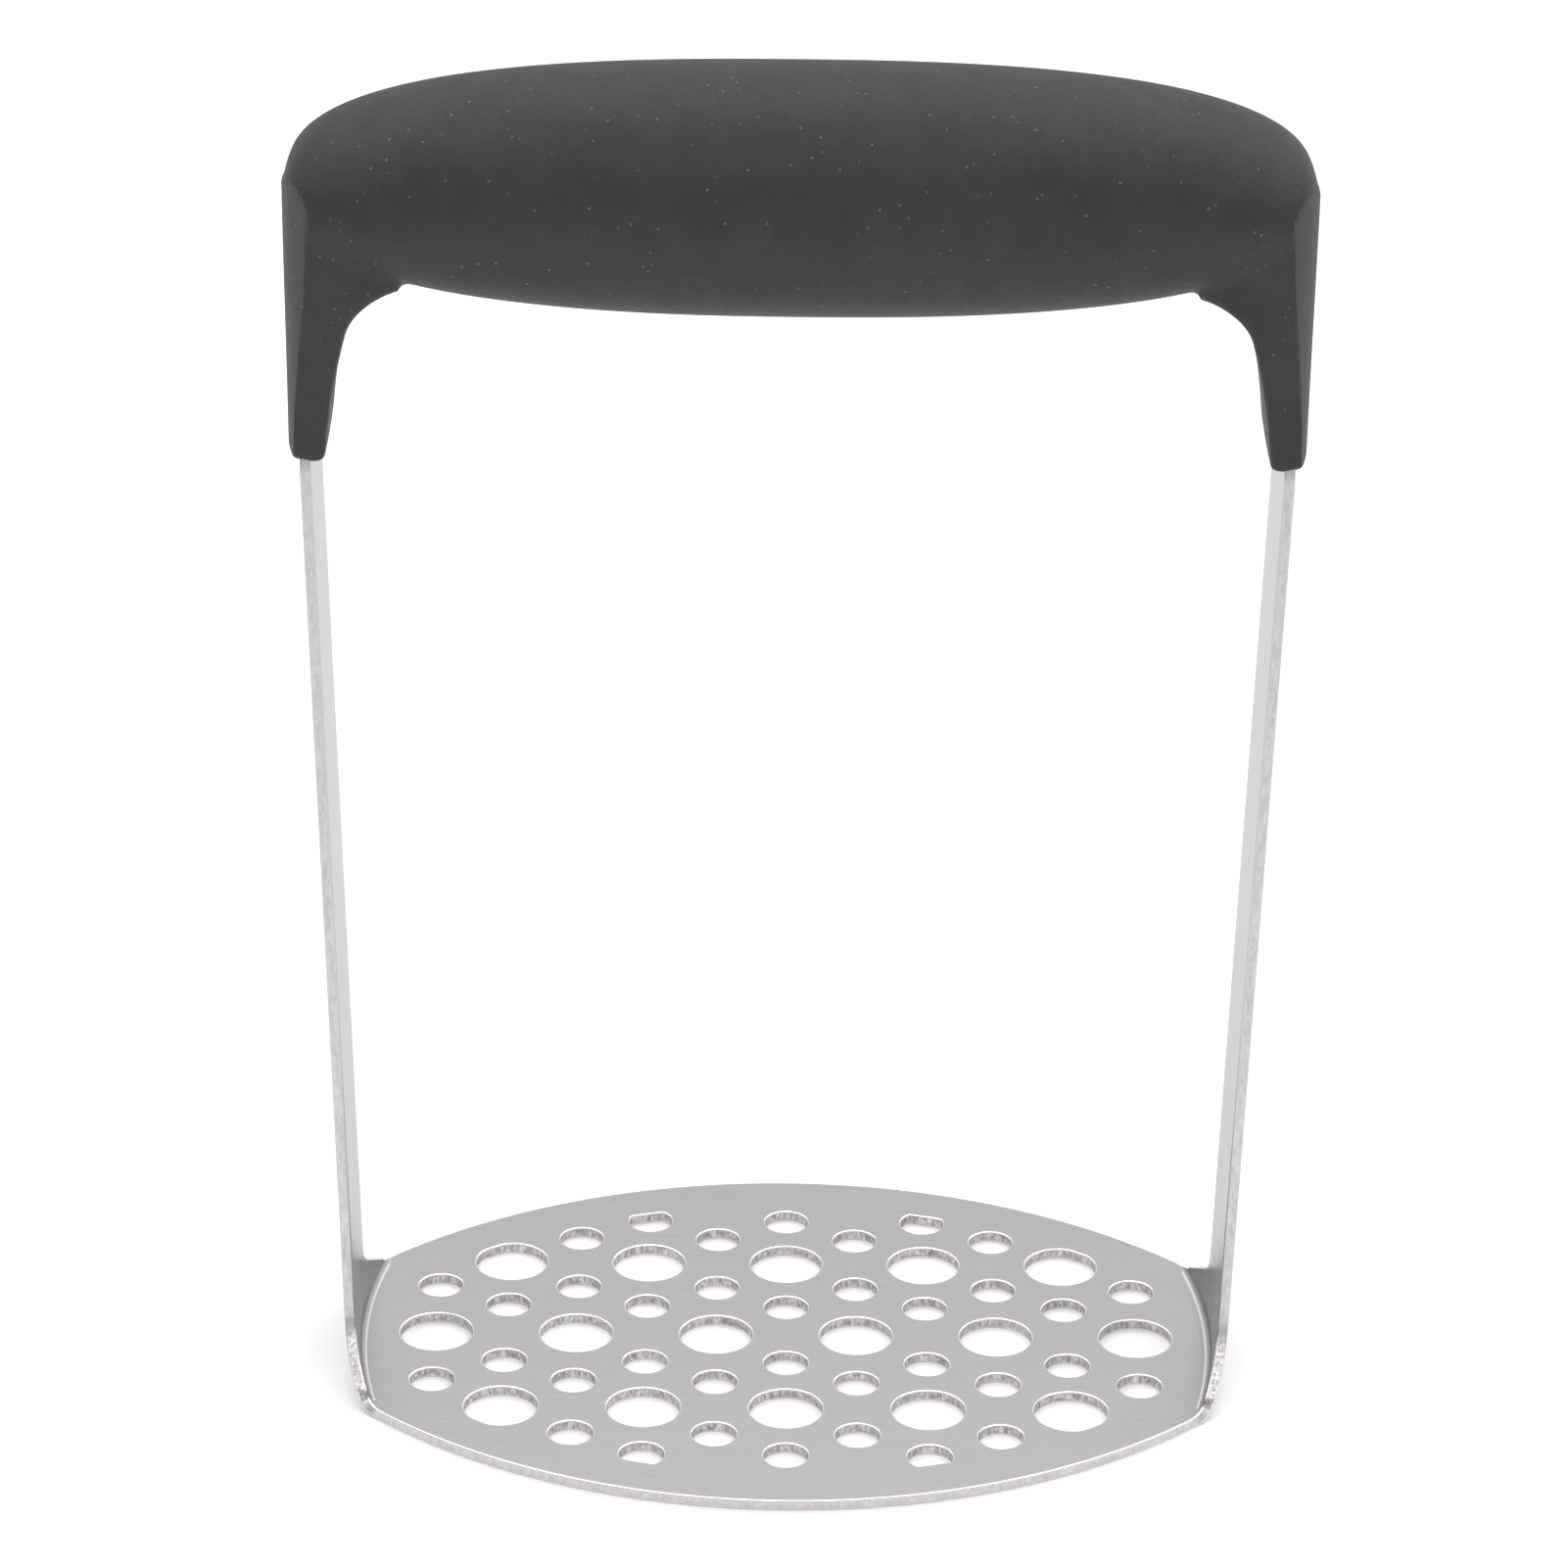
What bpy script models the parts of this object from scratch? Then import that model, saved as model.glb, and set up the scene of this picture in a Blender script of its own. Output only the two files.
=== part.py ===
"""Potato masher: a perforated steel plate, two steel uprights and an over-moulded grip.

Frame: X runs along the grip, Y from front to back and Z up. The origin lies under the
middle of the plate, on the surface that the masher stands on. Lengths are in metres.

The plate and the uprights come from one stamped blank. They are separate solids here,
parted at the two bend lines. The upper end of each upright is a narrow tang that leans
inwards and is locked in a hard core by a plug through its hole. The soft grip is
moulded over the core and over both tangs.
"""
import math

import bmesh
import bpy

MM = 0.001
GAP = 0.3 * MM                          # clearance between pieces that touch

# Steel blank
SHEET = 1.5 * MM                        # sheet thickness
PITCH = 19.5 * MM                       # spacing of the hole pattern, both ways
PLATE_ARC_RADIUS = 82.0 * MM            # front, back and end edges share one radius
PLATE_HALF_DEPTH = 43.0 * MM            # middle of the plate to the middle of its front edge
BEND_HALF_LENGTH = 58.3 * MM            # middle of the plate to the start of a bend
BEND_INNER_RADIUS = 0.8 * MM
FOOT_HALF_WIDTH = 18.6 * MM             # half the width of an upright just above its bend
FOOT_CORNER = 2.4 * MM                  # the foot's sloping edges start this high
FOOT_RISE = math.radians(29.5)          # and rise at this angle towards the strip
FLARE_RADIUS = 4.0 * MM                 # concave curve from a sloping edge into the strip

# Hole pattern
BIG_HOLE_RADIUS = 5.0 * MM
SMALL_HOLE_RADIUS = 3.0 * MM
BIG_HOLE_SIDES = 24
SMALL_HOLE_SIDES = 16
HOLE_MARGIN = 6.9 * MM                  # flat-sided holes stop this far from the edge
NEAR_ROW = 7.5 * MM                     # small holes level with the big centre row's gaps
MID_ROW = 12.7 * MM
FAR_ROW = 26.24 * MM
OUTER_ROW = 31.5 * MM

# Uprights
STRIP_HALF_WIDTH = 9.25 * MM
SPLAY = math.radians(1.535)             # outward lean of the exposed strip
CRANK_HEIGHT = 139.0 * MM               # inside the grip the strip turns inwards
CRANK_LEAN = math.radians(-6.0)
TANG_HALF_WIDTH = 6.0 * MM
TANG_TOP = 172.0 * MM
FLATTEN_START = 1.5 * MM                # the curved foot becomes flat between these heights
FLATTEN_END = 10.0 * MM
LOCK_HOLE_RADIUS = 3.0 * MM
LOCK_HOLE_HEIGHT = 164.0 * MM
LOCK_HOLE_X = 60.9 * MM

# Hard core
CORE_HALF_LENGTH = 63.0 * MM
CORE_HEIGHT = 171.0 * MM                # axis of the core's bar
CORE_HALF_DEPTH = 10.0 * MM
CORE_HALF_THICKNESS = 9.0 * MM
CORE_END_TAPER = 0.82                   # size of the bar's ends against its middle
CORE_TAPER_LENGTH = 8.0 * MM
SOCKET_INNER = 59.6 * MM
SOCKET_OUTER = 63.9 * MM
SOCKET_HALF_DEPTH = 7.5 * MM
SOCKET_BOTTOM = 156.0 * MM

# Soft grip
GRIP_HALF_LENGTH = 66.4 * MM
GRIP_HEIGHT = 171.7 * MM                # level of the grip's widest line
GRIP_HALF_THICKNESS = 16.35 * MM
GRIP_HALF_DEPTH = 17.0 * MM
GRIP_DEPTH_LOSS = 2.8 * MM              # how much slimmer the grip is at its end creases
GRIP_CREASE = 61.5 * MM                 # distance of an end crease from the middle
TOP_FULLNESS = 2.57                     # superellipse exponents of the front view
BOTTOM_FULLNESS = 2.45
LEG_TIP = 136.8 * MM
LEG_OUTER = 66.2 * MM                   # outer face of a leg at its tip
LEG_INNER = 61.1 * MM                   # inner face of a leg at its tip
LEG_HALF_DEPTH = 10.5 * MM              # at the tip
LEG_HALF_DEPTH_TOP = 14.0 * MM          # where the leg runs into the grip
LEG_FLARE_START = 154.5 * MM            # here the inner face hands over to the fillet
LEG_FILLET_RADIUS = 6.8 * MM
TIP_CREASE = 64.6 * MM                  # distance of an end crease at the leg's tip
DEPTH_LOSS_POWER = 2.4                  # how late the grip slims towards its ends
LEG_DRAFT = 0.08                        # depth a leg loses per length inwards, front and back
WEB_SLIMMING = 45.0                     # extra loss on the web between leg and grip, per metre
LEG_INNER_LEAN = 0.06                   # slope and curvature of a leg's inner face
LEG_INNER_CURVE = 5.3


def clear_scene():
    for item in list(bpy.data.objects):
        bpy.data.objects.remove(item, do_unlink=True)


def make_material(name, colour, roughness, metallic):
    material = bpy.data.materials.new(name)
    material.use_nodes = True
    shader = material.node_tree.nodes["Principled BSDF"]
    shader.inputs["Base Color"].default_value = (*colour, 1.0)
    shader.inputs["Roughness"].default_value = roughness
    shader.inputs["Metallic"].default_value = metallic
    material.diffuse_color = (*colour, 1.0)
    return material


def add_object(name, points, faces, material=None):
    mesh = bpy.data.meshes.new(name)
    mesh.from_pydata(points, [], faces)
    work = bmesh.new()
    work.from_mesh(mesh)
    bmesh.ops.recalc_face_normals(work, faces=work.faces)
    work.to_mesh(mesh)
    work.free()
    item = bpy.data.objects.new(name, mesh)
    bpy.context.scene.collection.objects.link(item)
    if material:
        mesh.materials.append(material)
    return item


def end_faces(first, count, curved):
    """Faces that close a ring: one flat face, or a ladder of quads across a curved end."""
    if not curved:
        return [tuple(range(first, first + count))]
    last = first + count - 1
    return [(first + step, first + step + 1, last - step - 1, last - step)
            for step in range(count // 2 - 1)]


def loft(name, rings, material=None, curved_ends=False):
    """Close a solid round a list of rings that all hold the same number of points."""
    count = len(rings[0])
    points = [point for ring in rings for point in ring]
    faces = []
    for ring in range(len(rings) - 1):
        for step in range(count):
            after = (step + 1) % count
            low = ring * count
            high = low + count
            faces.append((low + step, low + after, high + after, high + step))
    faces += end_faces(0, count, curved_ends)
    faces += end_faces(len(points) - count, count, curved_ends)
    return add_object(name, points, faces, material)


def prism(outline, bottom, top):
    """Rings of an upright prism over an outline of (x, y) points."""
    return [[(x, y, height) for x, y in outline] for height in (bottom, top)]


def cut(item, cutter, operation="DIFFERENCE"):
    """Apply one Boolean to an object and drop the cutter."""
    modifier = item.modifiers.new("cut", "BOOLEAN")
    modifier.operation = operation
    modifier.solver = "EXACT"
    modifier.object = cutter
    graph = bpy.context.evaluated_depsgraph_get()
    result = bpy.data.meshes.new_from_object(item.evaluated_get(graph))
    item.modifiers.clear()
    item.data = result
    bpy.data.objects.remove(cutter, do_unlink=True)


def shade(item, angle=35.0):
    item.data.shade_smooth()
    item.data.set_sharp_from_angle(angle=math.radians(angle))


def blend(value, low, high):
    """Smooth step from 0 at low to 1 at high."""
    share = min(1.0, max(0.0, (value - low) / (high - low)))
    return share * share * (3.0 - 2.0 * share)


def spread(low, high, count):
    return [low + (high - low) * step / (count - 1) for step in range(count)]


# Plate

def edge_y(x, radius=PLATE_ARC_RADIUS):
    """Depth of the plate's back arc at x."""
    centre = PLATE_HALF_DEPTH - PLATE_ARC_RADIUS
    return centre + math.sqrt(radius ** 2 - x ** 2)


def bend_sag(y):
    """How far a bend line falls back from its middle at depth y."""
    return PLATE_ARC_RADIUS - math.sqrt(PLATE_ARC_RADIUS ** 2 - y ** 2)


def bend_corner(line):
    """Where a bend line, at x = line in its middle, meets the plate's back arc."""
    side_x = line - PLATE_ARC_RADIUS
    side_y = PLATE_ARC_RADIUS - PLATE_HALF_DEPTH
    apart = math.hypot(side_x, side_y)
    rise = math.sqrt(PLATE_ARC_RADIUS ** 2 - (apart / 2) ** 2)
    return side_x / 2 + side_y / apart * rise, -side_y / 2 - side_x / apart * rise


def plate_outline():
    """Outline of the flat plate, one quarter worked out and then mirrored."""
    end_x = BEND_HALF_LENGTH - GAP / 2
    corner_x, corner_y = bend_corner(end_x)
    quarter = [(end_x - bend_sag(y), y) for y in spread(0.0, corner_y, 10)]
    quarter += [(x, edge_y(x)) for x in spread(corner_x, 0.0, 20)[1:]]
    half = quarter + [(-x, y) for x, y in reversed(quarter[:-1])]
    return half + [(x, -y) for x, y in reversed(half[1:-1])]


def hole_centres():
    """Every hole of the pattern as (x, y, radius, sides)."""
    holes = []

    def row(depth, columns, radius, sides):
        for side in ((1, -1) if depth else (1,)):
            holes.extend((PITCH * x, side * depth, radius, sides) for x in columns)

    halves = (-2.5, -1.5, -0.5, 0.5, 1.5, 2.5)
    wholes = (-2, -1, 0, 1, 2)
    row(0.0, halves, BIG_HOLE_RADIUS, BIG_HOLE_SIDES)
    row(PITCH, wholes, BIG_HOLE_RADIUS, BIG_HOLE_SIDES)
    row(NEAR_ROW, wholes, SMALL_HOLE_RADIUS, SMALL_HOLE_SIDES)
    row(MID_ROW, halves, SMALL_HOLE_RADIUS, SMALL_HOLE_SIDES)
    row(FAR_ROW, halves[1:-1], SMALL_HOLE_RADIUS, SMALL_HOLE_SIDES)
    row(OUTER_ROW, wholes[1:-1], SMALL_HOLE_RADIUS, SMALL_HOLE_SIDES)
    return holes


def hole_outline(x, y, radius, sides):
    """A round hole, trimmed flat where it would come too near the plate's edge."""
    points = []
    for step in range(sides):
        angle = 2.0 * math.pi * (step + 0.5) / sides
        point_x = x + radius * math.cos(angle)
        point_y = y + radius * math.sin(angle)
        limit = edge_y(point_x, PLATE_ARC_RADIUS - HOLE_MARGIN)
        points.append((point_x, max(-limit, min(limit, point_y))))
    return points


def make_plate(steel):
    plate = loft("mash_plate", prism(plate_outline(), 0.0, SHEET), steel)
    points = []
    faces = []
    for hole in hole_centres():
        first = len(points)
        low, high = prism(hole_outline(*hole), -SHEET, 2.0 * SHEET)
        sides = len(low)
        points += low + high
        for step in range(sides):
            after = (step + 1) % sides
            faces.append((first + step, first + after, first + sides + after, first + sides + step))
        faces.append(tuple(range(first, first + sides))[::-1])
        faces.append(tuple(range(first + sides, first + 2 * sides)))
    cut(plate, add_object("hole_cutter", points, faces))
    shade(plate)


# Uprights

def flare_heights():
    """Heights where the concave curve leaves a sloping edge and where it meets the strip."""
    spread_out = 1.0 / math.tan(FOOT_RISE)
    slant = math.hypot(1.0, spread_out)
    reach = FOOT_HALF_WIDTH - STRIP_HALF_WIDTH + spread_out * FOOT_CORNER
    top = (reach + FLARE_RADIUS * (slant - 1.0)) / spread_out
    return top - FLARE_RADIUS * spread_out / slant, top


def strip_half_width(height):
    """Half-width of an upright at a height: sloping foot, concave curve, then the strip."""
    low, top = flare_heights()
    if height < low:
        return FOOT_HALF_WIDTH - max(0.0, height - FOOT_CORNER) / math.tan(FOOT_RISE)
    if height < top:
        return STRIP_HALF_WIDTH + FLARE_RADIUS - math.sqrt(FLARE_RADIUS ** 2 - (top - height) ** 2)
    return STRIP_HALF_WIDTH


def upright_rows(clearance):
    """Rows of an upright as (inner n, inner z, outer n, outer z, half-width, curve share)."""
    rows = []
    inner = BEND_INNER_RADIUS
    outer = inner + SHEET
    corner_x, _ = bend_corner(BEND_HALF_LENGTH + GAP / 2)
    for angle in spread(0.0, math.pi / 2 - SPLAY, 5):
        depth = math.cos(angle)
        reach = math.sin(angle)
        height = SHEET + inner * (1 - depth)
        half = edge_y(corner_x + (inner + SHEET / 2) * angle)
        rows.append((inner * reach, height, outer * reach, outer * (1 - depth), half + clearance, 1.0))
    foot_n, foot_z = rows[-1][0], rows[-1][1]

    def straight(heights, lean, n, z, width):
        for height in heights:
            reach = n + (height - z) * math.tan(lean)
            half = width(height) if callable(width) else width
            share = 1.0 - blend(height, FLATTEN_START, FLATTEN_END)
            rows.append((reach - clearance, height,
                         reach + SHEET / math.cos(lean) + clearance, height, half + clearance, share))
        return reach

    low, top = flare_heights()
    foot = [FOOT_CORNER] + spread(FOOT_CORNER, low, 4)[1:] + spread(low, top, 7)[1:]
    rise = [FLATTEN_END + 1.0 * MM, 80.0 * MM, LEG_TIP - 2.0 * MM, CRANK_HEIGHT]
    n = straight(foot + rise, SPLAY, foot_n, foot_z, strip_half_width)
    shoulder = CRANK_HEIGHT + 2.0 * MM
    straight([shoulder], CRANK_LEAN, n, CRANK_HEIGHT, STRIP_HALF_WIDTH)
    tang = [shoulder + 1.0 * MM, TANG_TOP + clearance]
    straight(tang, CRANK_LEAN, n, CRANK_HEIGHT, TANG_HALF_WIDTH)
    return rows


def upright_solid(name, side, clearance=0.0, material=None):
    """An upright as rings that run round its edge, one ring a row."""
    base = BEND_HALF_LENGTH + GAP / 2
    shares = spread(-1.0, 1.0, 9)
    rings = []
    for inner_n, inner_z, outer_n, outer_z, half, curve in upright_rows(clearance):
        inside = []
        outside = []
        for share in shares:
            y = share * half
            x = base - bend_sag(y) * curve
            inside.append((side * (x + inner_n), y, inner_z))
            outside.append((side * (x + outer_n), y, outer_z))
        rings.append(inside + outside[::-1])
    return loft(name, rings, material, curved_ends=True)


def lock_plug(side, clearance=0.0):
    """Cylinder through a tang, along X, that opens its lock hole."""
    radius = LOCK_HOLE_RADIUS + clearance
    sides = 16
    rings = []
    for x in (LOCK_HOLE_X - 5.0 * MM, LOCK_HOLE_X + 5.0 * MM):
        ring = []
        for step in range(sides):
            angle = 2.0 * math.pi * step / sides
            ring.append((side * x, radius * math.cos(angle), LOCK_HOLE_HEIGHT + radius * math.sin(angle)))
        rings.append(ring)
    return loft("lock_cutter", rings)


def make_upright(name, side, steel):
    upright = upright_solid(name, side, material=steel)
    cut(upright, lock_plug(side))
    shade(upright)


# Core

def core_ring(x, clearance):
    """Rounded section of the core's bar, slimmer towards its ends."""
    share = blend(CORE_HALF_LENGTH - abs(x), 0.0, CORE_TAPER_LENGTH)
    size = CORE_END_TAPER + (1.0 - CORE_END_TAPER) * share
    ring = []
    sides = 24
    for step in range(sides):
        angle = 2.0 * math.pi * step / sides
        y = (CORE_HALF_DEPTH * size + clearance) * math.cos(angle)
        z = (CORE_HALF_THICKNESS * size + clearance) * math.sin(angle)
        ring.append((x, y, CORE_HEIGHT + z))
    return ring


def core_solid(name, clearance=0.0, material=None):
    """Bar with a socket at each end for the tangs."""
    end = CORE_HALF_LENGTH
    taper = end - CORE_TAPER_LENGTH
    stations = [-end - clearance, -(end + taper) / 2, -taper, taper, (end + taper) / 2, end + clearance]
    core = loft(name, [core_ring(x, clearance) for x in stations], material)
    for side in (-1, 1):
        inner = SOCKET_INNER - clearance
        outer = SOCKET_OUTER + clearance
        depth = SOCKET_HALF_DEPTH + clearance
        corners = [(inner, -depth), (outer, -depth), (outer, depth), (inner, depth)]
        outline = [(side * x, y) for x, y in corners]
        socket = loft("socket", prism(outline, SOCKET_BOTTOM - clearance, CORE_HEIGHT))
        cut(core, socket, "UNION")
    return core


def make_core(plastic):
    core = core_solid("handle_core", material=plastic)
    for side in (-1, 1):
        room = upright_solid("tang_cutter", side, GAP)
        cut(room, lock_plug(side, -GAP))
        cut(core, room)
    shade(core)


# Grip

def superellipse(x, exponent):
    share = min(1.0, abs(x) / GRIP_HALF_LENGTH)
    return (1.0 - share ** exponent) ** (1.0 / exponent)


def bar_half_height(x, above):
    """Half-height of the grip's bar at x, above or below its widest line."""
    return GRIP_HALF_THICKNESS * superellipse(x, TOP_FULLNESS if above else BOTTOM_FULLNESS)


def bar_half_depth(x, z):
    """Half-depth of the bar alone at (x, z); nothing outside its oval section."""
    height = bar_half_height(x, z > GRIP_HEIGHT)
    if height <= 0.0 or abs(z - GRIP_HEIGHT) >= height:
        return 0.0
    depth = GRIP_HALF_DEPTH - GRIP_DEPTH_LOSS * (abs(x) / GRIP_CREASE) ** DEPTH_LOSS_POWER
    return depth * math.sqrt(1.0 - ((z - GRIP_HEIGHT) / height) ** 2)


def leg_half_depth(x, z):
    """Half-depth of a leg, which slims towards the middle of the grip."""
    if z > GRIP_HEIGHT:
        return 0.0
    rise = blend(z, LEG_TIP, GRIP_HEIGHT)
    depth = LEG_HALF_DEPTH + (LEG_HALF_DEPTH_TOP - LEG_HALF_DEPTH) * rise
    web = max(0.0, LEG_INNER - abs(x))
    return depth - LEG_DRAFT * max(0.0, LEG_OUTER - abs(x)) - WEB_SLIMMING * web ** 2


def end_share(x):
    """How far station x has gone across an end face: 0 at the crease, 1 at the very end."""
    return max(0.0, (abs(x) - GRIP_CREASE) / (GRIP_HALF_LENGTH - GRIP_CREASE))


def placed_x(x, z):
    """Place of station x at height z: the crease moves outwards towards the leg's tip."""
    if abs(x) <= LEG_INNER:
        return x
    drop = 1.0 - blend(z, LEG_TIP, GRIP_HEIGHT)
    crease = GRIP_CREASE + (TIP_CREASE - GRIP_CREASE) * drop
    end = GRIP_HALF_LENGTH - (GRIP_HALF_LENGTH - LEG_OUTER) * drop
    return math.copysign(crease + (end - crease) * end_share(x), x)


def body_half_depth(x, z):
    """Half-depth of bar and leg together, as if the end faces weren't there."""
    leg = leg_half_depth(x, z) if abs(x) > leg_start() else 0.0
    return max(bar_half_depth(x, z), leg)


def grip_half_depth(x, z):
    """Half-depth of the handle at station x, cut to the rounded end faces."""
    body = body_half_depth(x, z)
    share = end_share(x)
    if share > 0.0:
        crease = math.copysign(GRIP_CREASE, x)
        body = min(body, body_half_depth(crease, z) * math.sqrt(1.0 - share))
    return max(GAP, body)


def leg_inner_x(z):
    """Inner face of a leg: nearly upright, leaning inwards as it rises."""
    rise = z - LEG_TIP
    return LEG_INNER - LEG_INNER_LEAN * rise - LEG_INNER_CURVE * rise ** 2


def lower_outline(x):
    """Underside of the handle in the front view: leg tip, inner face, fillet, then bar."""
    x = abs(x)
    if x >= LEG_INNER:
        return LEG_TIP
    start = leg_inner_x(LEG_FLARE_START)
    if x >= start:
        low, high = LEG_TIP, LEG_FLARE_START
        for _ in range(40):
            middle = (low + high) / 2
            if leg_inner_x(middle) > x:
                low = middle
            else:
                high = middle
        return low
    slope = (leg_inner_x(LEG_FLARE_START - MM) - start) / MM
    length = math.hypot(1.0, slope)
    centre_x = start - LEG_FILLET_RADIUS / length
    centre_z = LEG_FLARE_START - LEG_FILLET_RADIUS * slope / length
    bar = GRIP_HEIGHT - bar_half_height(x, False)
    if x <= centre_x:
        return bar
    return min(centre_z + math.sqrt(LEG_FILLET_RADIUS ** 2 - (x - centre_x) ** 2), bar)


def grip_ring(x):
    """Section of the whole handle in the plane at x, front edge up and back edge down."""
    top = GRIP_HEIGHT + bar_half_height(x, True)
    bottom = lower_outline(x)
    front = []
    back = []
    for angle in spread(0.0, math.pi, 17):
        z = bottom + (top - bottom) * (1 - math.cos(angle)) / 2
        half = grip_half_depth(x, z)
        front.append((placed_x(x, z), -half, z))
        back.append((placed_x(x, z), half, z))
    return front + back[::-1]


def leg_start():
    """Distance from the middle where the legs grow out of the bar."""
    return leg_inner_x(LEG_FLARE_START) - LEG_FILLET_RADIUS


def grip_stations():
    """Distances along the grip, close together at the ends, legs and fillets."""
    curve = GRIP_HALF_LENGTH - GRIP_CREASE
    end = [GRIP_HALF_LENGTH - curve * share ** 2 for share in spread(0.05, 1.0, 9)]
    leg = spread(LEG_INNER, leg_inner_x(LEG_FLARE_START), 8)
    fillet = spread(leg[-1] - 0.5 * MM, leg_start(), 8)
    bar = [48.0 * MM, 42.0 * MM, 34.0 * MM, 24.0 * MM, 12.0 * MM]
    half = end + leg + fillet + bar
    return [-x for x in half] + [0.0] + half[::-1]


def make_grip(rubber):
    grip = loft("soft_grip", [grip_ring(x) for x in grip_stations()], rubber)
    cut(grip, core_solid("core_cutter", GAP))
    for side in (-1, 1):
        cut(grip, upright_solid("strip_cutter", side, GAP))
    shade(grip)


def main():
    clear_scene()
    steel = make_material("brushed_steel", (0.62, 0.62, 0.63), 0.3, 1.0)
    plastic = make_material("core_plastic", (0.03, 0.03, 0.032), 0.5, 0.0)
    rubber = make_material("grip_rubber", (0.045, 0.045, 0.047), 0.7, 0.0)
    make_plate(steel)
    make_upright("left_upright", -1, steel)
    make_upright("right_upright", 1, steel)
    make_core(plastic)
    make_grip(rubber)


main()
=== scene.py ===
"""Looks of the potato masher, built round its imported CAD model.

The steel blank, which the CAD parts at its bend lines, is one folded sheet here: a flat
pattern with rounded rims is triangulated and then folded up. The soft grip is the zero
surface of a formula, so its creases and blends are rounded. Lengths are in metres.
"""
import math

import bpy
import numpy as np
from mathutils import Matrix, Vector
from mathutils.geometry import delaunay_2d_cdt

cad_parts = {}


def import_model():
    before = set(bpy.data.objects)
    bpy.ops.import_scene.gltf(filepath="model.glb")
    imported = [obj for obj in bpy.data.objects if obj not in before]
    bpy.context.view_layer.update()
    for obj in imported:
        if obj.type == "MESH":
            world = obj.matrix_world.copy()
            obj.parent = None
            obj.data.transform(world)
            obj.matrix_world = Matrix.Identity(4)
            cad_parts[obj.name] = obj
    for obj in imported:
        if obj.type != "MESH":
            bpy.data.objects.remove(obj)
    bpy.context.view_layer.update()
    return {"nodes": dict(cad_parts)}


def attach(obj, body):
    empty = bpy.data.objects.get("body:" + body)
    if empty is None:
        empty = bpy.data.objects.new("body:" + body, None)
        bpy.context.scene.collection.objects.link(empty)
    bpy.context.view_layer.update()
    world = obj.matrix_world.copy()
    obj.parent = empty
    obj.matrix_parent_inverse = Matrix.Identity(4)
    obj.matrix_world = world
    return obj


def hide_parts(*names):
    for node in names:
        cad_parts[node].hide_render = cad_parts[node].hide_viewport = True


MM = 0.001

# Steel blank
SHEET = 1.5 * MM
EDGE_ROUND = 0.28 * MM                  # rolled-over rims of the stamped sheet
EDGE_STEPS = 4
RING_COUNT = 2 * (EDGE_STEPS + 1)       # rings of points that roll round an edge of the sheet
UV_LENGTH = 100.0 * MM                  # flat length that one unit of the UV map stands for
BEND_HIGHLIGHT_OFFSET = 0.1 * MM                  # painted highlight along the bend, this far past the bend line
BEND_HIGHLIGHT_WIDTH = 0.3 * MM
RIM_HIGHLIGHT_FULL_END = 2.0 * MM                # the painted highlight on the rolled rim fades out between these distances
RIM_HIGHLIGHT_FADE_END = 8.0 * MM                # past the bend line
PATTERN_LAYER = "flat_pattern"
TORN_LAYER = "torn_share"               # 1 in the holes and on the feet's sloping edges
EDGE_LAYER = "edge_share"               # 0 on the sheet's faces, 1 on its cut walls
PITCH = 19.5 * MM                       # hole pattern, both ways
PLATE_ARC_RADIUS = 82.0 * MM
PLATE_HALF_DEPTH = 43.0 * MM
BEND_LINE = 58.4 * MM                   # where the sheet starts to bend up, at its middle
BEND_RADIUS = 0.8 * MM + SHEET / 2      # to the middle of the sheet
SPLAY = math.radians(1.535)
TURN = math.pi / 2 - SPLAY              # how far the sheet turns at a bend
FOOT_HALF_WIDTH = 18.6 * MM             # half the width of an upright just above its bend
FOOT_CORNER = 2.4 * MM                  # the foot's sloping edges start this high
FOOT_SPREAD = 1.0 / math.tan(math.radians(29.5))
FLARE_RADIUS = 4.0 * MM
FLATTEN_START = 1.5 * MM                # the curved foot becomes flat between these heights
FLATTEN_END = 10.0 * MM
CURVED_ROWS_TOP = FLATTEN_END + 2.0 * MM
STRIP_HALF_WIDTH = 9.25 * MM
CRANK_HEIGHT = 139.0 * MM               # inside the grip the strip turns inwards
CRANK_TURN = math.radians(96.0)
TANG_HALF_WIDTH = 6.0 * MM
TANG_TOP = 171.6 * MM
SHOULDER_PAST_CRANK = 2.0 * MM          # the strip narrows to its tang this far past the crank
SHOULDER_RUN = 0.5 * MM
TANG_CHAMFER = 1.0 * MM
LOCK_HOLE_RADIUS = 3.0 * MM
LOCK_HOLE_HEIGHT = 164.0 * MM
BIG_HOLE_RADIUS = 5.0 * MM
SMALL_HOLE_RADIUS = 3.0 * MM
HOLE_MARGIN = 6.9 * MM                  # flat-sided holes stop this far from the edge
NEAR_ROW = 7.5 * MM
MID_ROW = 12.7 * MM
FAR_ROW = 26.24 * MM
OUTER_ROW = 31.5 * MM
SLOPE_HALF_WIDTH = STRIP_HALF_WIDTH + 1.0 * MM  # edges further out than this are the feet's slopes
EDGE_TRACE = 0.01                       # least edge share that counts as part of an edge

# How finely the blank is divided
ARC_POINTS = 72                         # on a quarter of the plate's rim
SLOPE_POINTS = 9
FLARE_POINTS = 12
STRIP_POINTS = 24
HOLE_SEGMENT = 0.45 * MM                # length of one side of a hole's polygon
FEWEST_SIDES = 28
BEND_ROWS = 9                           # rows of extra points round a bend
FOOT_ROWS = 16                          # and up the curved foot
ROW_MARGIN = 0.8 * MM                   # these points stay this far inside the edge
ROW_SPACING = 1.6 * MM
SETTLING_ROUNDS = 30

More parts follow.
